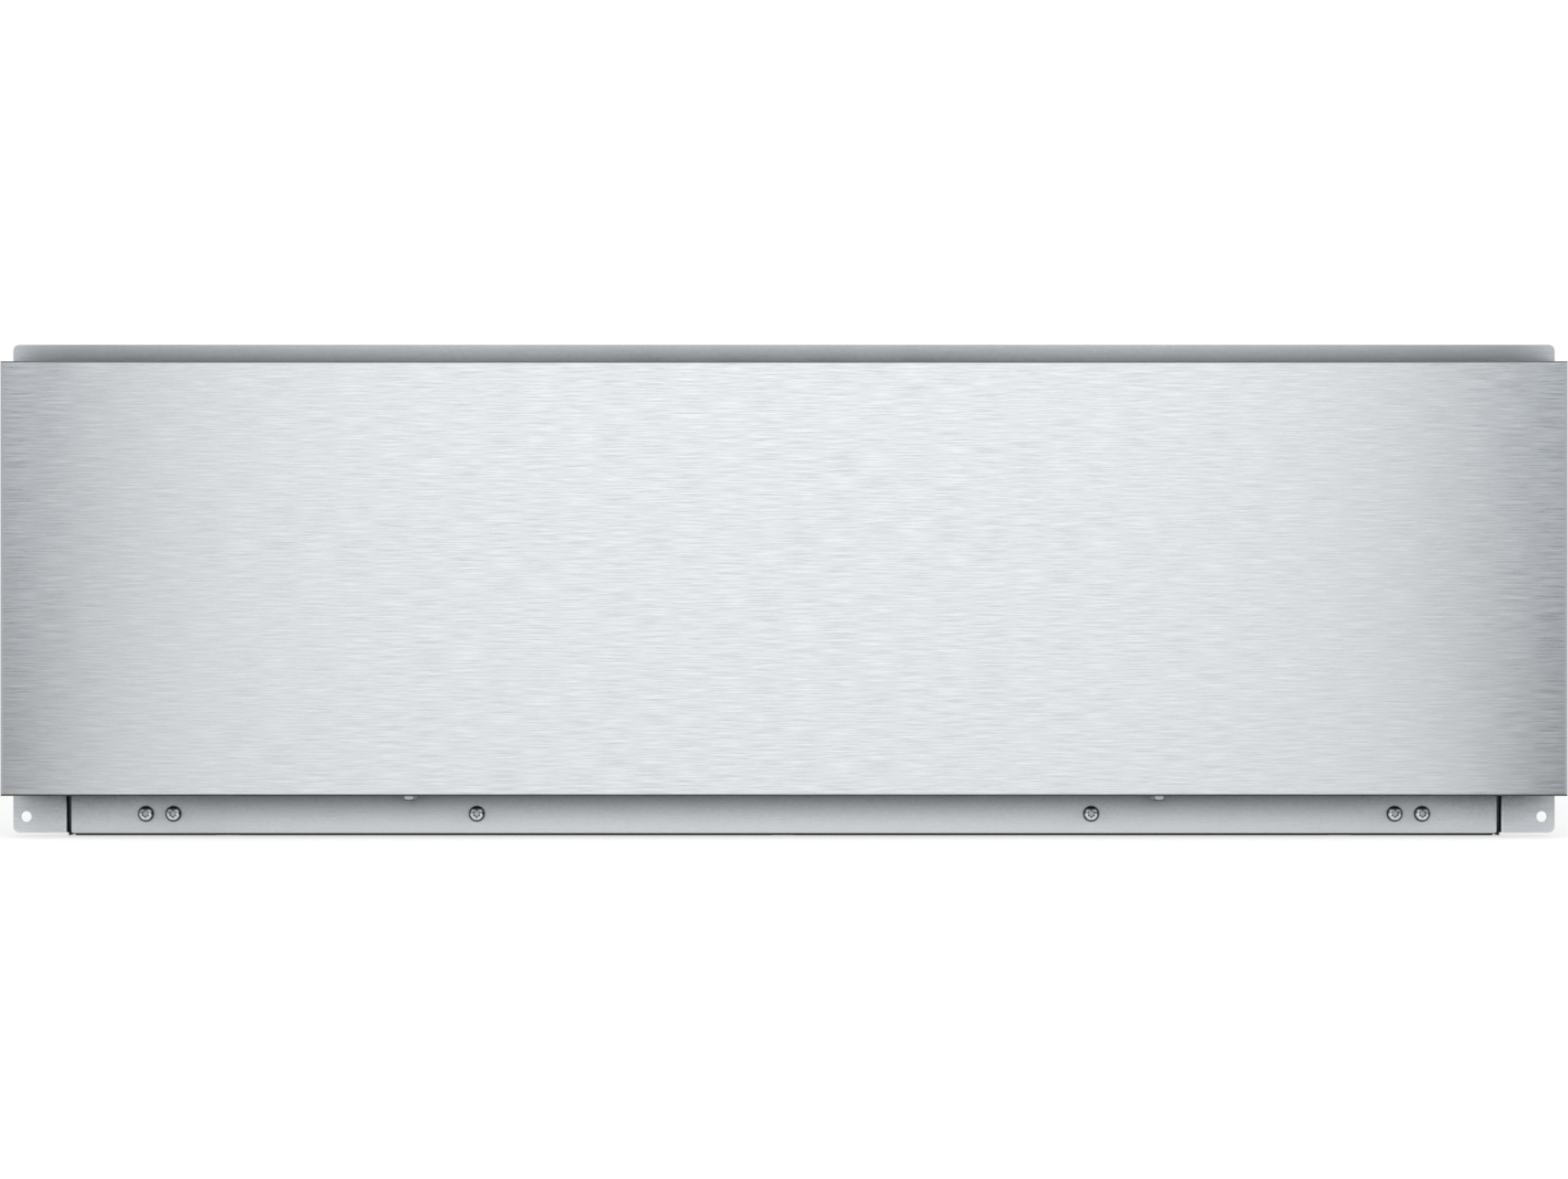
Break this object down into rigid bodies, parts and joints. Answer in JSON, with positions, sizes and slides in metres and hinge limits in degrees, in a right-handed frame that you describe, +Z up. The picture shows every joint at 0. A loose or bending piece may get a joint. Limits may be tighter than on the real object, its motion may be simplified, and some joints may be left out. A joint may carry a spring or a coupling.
{
  "type": "warming drawer",
  "caption": "Built-in push-to-open warming drawer: brushed steel front on ball slides in an insulated chassis with an under-box heating element.",
  "frame": {"origin": "under the middle of the whole object, on the surface that it stands on", "axes": "+X to the right seen from the front, +Y to the rear, +Z up; the drawer opens along -Y"},
  "size_m": [0.7556, 0.594, 0.2394],
  "materials": {
    "stainless_panel": "horizontal brushed grain",
    "stainless_frame": "mill finish",
    "stainless_inner": "satin",
    "galvanised": "zinc-coated sheet",
    "screw_steel": "bright plated",
    "zinc": "bright zinc",
    "insulation": "mineral wool",
    "element_sheath": "dark oxidised alloy sheath",
    "ceramic": "steatite ceramic",
    "circuit_board": "solder mask",
    "black_plastic": "moulded",
    "gloss_black": "gloss",
    "button_grey": "fine texture",
    "lens_amber": "translucent",
    "plunger_grey": "smooth",
    "seal": "silicone rubber"
  },
  "bodies": {
    "chassis": {"front_frame": "stainless_frame", "bottom_front_rail": "stainless_frame", "rail_screws": "screw_steel", "frame_screws": "screw_steel", "base_pan": "galvanised", "left_side_wall": "galvanised", "right_side_wall": "galvanised", "rear_wall": "galvanised", "rear_screws": "screw_steel", "top_cover": "galvanised", "cover_screws": "screw_steel", "cavity_ceiling": "galvanised", "left_cavity_side": "stainless_inner", "right_cavity_side": "stainless_inner", "cavity_rear": "galvanised", "top_insulation": "insulation", "side_insulation": "insulation", "base_insulation": "insulation", "heat_reflector": "stainless_inner", "heating_element": "element_sheath", "element_brackets": "zinc", "element_bushes": "ceramic", "temperature_sensor": "screw_steel", "thermal_cutout": "black_plastic", "power_board": "circuit_board", "terminal_block": "ceramic", "terminal_cover": "galvanised", "cord_gland": "black_plastic", "control_fascia": "gloss_black", "control_board": "circuit_board", "indicator_lenses": "lens_amber", "left_outer_member": "zinc", "right_outer_member": "zinc", "slide_screws": "screw_steel", "latch_housings": "black_plastic", "latch_springs": "screw_steel"},
    "drawer": {"front_panel": "stainless_panel", "front_liner": "stainless_inner", "front_insulation": "insulation", "door_gasket": "seal", "panel_screws": "screw_steel", "liner_screws": "screw_steel", "front_brackets": "galvanised", "drawer_box": "stainless_inner", "left_inner_member": "zinc", "right_inner_member": "zinc", "box_screws": "screw_steel", "latch_strikers": "zinc"},
    "slide_middles": {"left_middle_member": "zinc", "right_middle_member": "zinc"},
    "outer_cages": {"outer_ball_cages": "zinc", "outer_balls": "screw_steel"},
    "inner_cages": {"inner_ball_cages": "zinc", "inner_balls": "screw_steel"},
    "left_plunger": {"left_latch_plunger": "plunger_grey"},
    "right_plunger": {"right_latch_plunger": "plunger_grey"},
    "power_key": {"power_button": "button_grey"},
    "cooler_key": {"cooler_button": "button_grey"},
    "warmer_key": {"warmer_button": "button_grey"},
    "timer_key": {"timer_button": "button_grey"}
  },
  "joints": [
    {"name": "drawer_slide", "type": "slide", "parent": "chassis", "child": "drawer", "axis": [0, -1, 0], "range_m": [-0.0025, 0.43]},
    {"name": "middle_slide", "type": "slide", "parent": "chassis", "child": "slide_middles", "axis": [0, -1, 0], "range_m": [-0.00125, 0.215]},
    {"name": "outer_cage_slide", "type": "slide", "parent": "chassis", "child": "outer_cages", "axis": [0, -1, 0], "range_m": [-0.00063, 0.1075]},
    {"name": "inner_cage_slide", "type": "slide", "parent": "chassis", "child": "inner_cages", "axis": [0, -1, 0], "range_m": [-0.00187, 0.3225]},
    {"name": "left_plunger_slide", "type": "slide", "parent": "chassis", "child": "left_plunger", "axis": [0, 1, 0], "range_m": [0, 0.0025], "stiffness_N_per_m": 1200, "deforming": ["latch_springs"]},
    {"name": "right_plunger_slide", "type": "slide", "parent": "chassis", "child": "right_plunger", "axis": [0, 1, 0], "range_m": [0, 0.0025], "stiffness_N_per_m": 1200, "deforming": ["latch_springs"]},
    {"name": "power_press", "type": "slide", "parent": "chassis", "child": "power_key", "axis": [0, 1, 0], "range_m": [0, 0.001], "stiffness_N_per_m": 1500},
    {"name": "cooler_press", "type": "slide", "parent": "chassis", "child": "cooler_key", "axis": [0, 1, 0], "range_m": [0, 0.001], "stiffness_N_per_m": 1500},
    {"name": "warmer_press", "type": "slide", "parent": "chassis", "child": "warmer_key", "axis": [0, 1, 0], "range_m": [0, 0.001], "stiffness_N_per_m": 1500},
    {"name": "timer_press", "type": "slide", "parent": "chassis", "child": "timer_key", "axis": [0, 1, 0], "range_m": [0, 0.001], "stiffness_N_per_m": 1500}
  ],
  "couplings": [
    {"joint": "middle_slide", "follows": "drawer_slide", "ratio": 0.5},
    {"joint": "outer_cage_slide", "follows": "drawer_slide", "ratio": 0.25},
    {"joint": "inner_cage_slide", "follows": "drawer_slide", "ratio": 0.75}
  ]
}
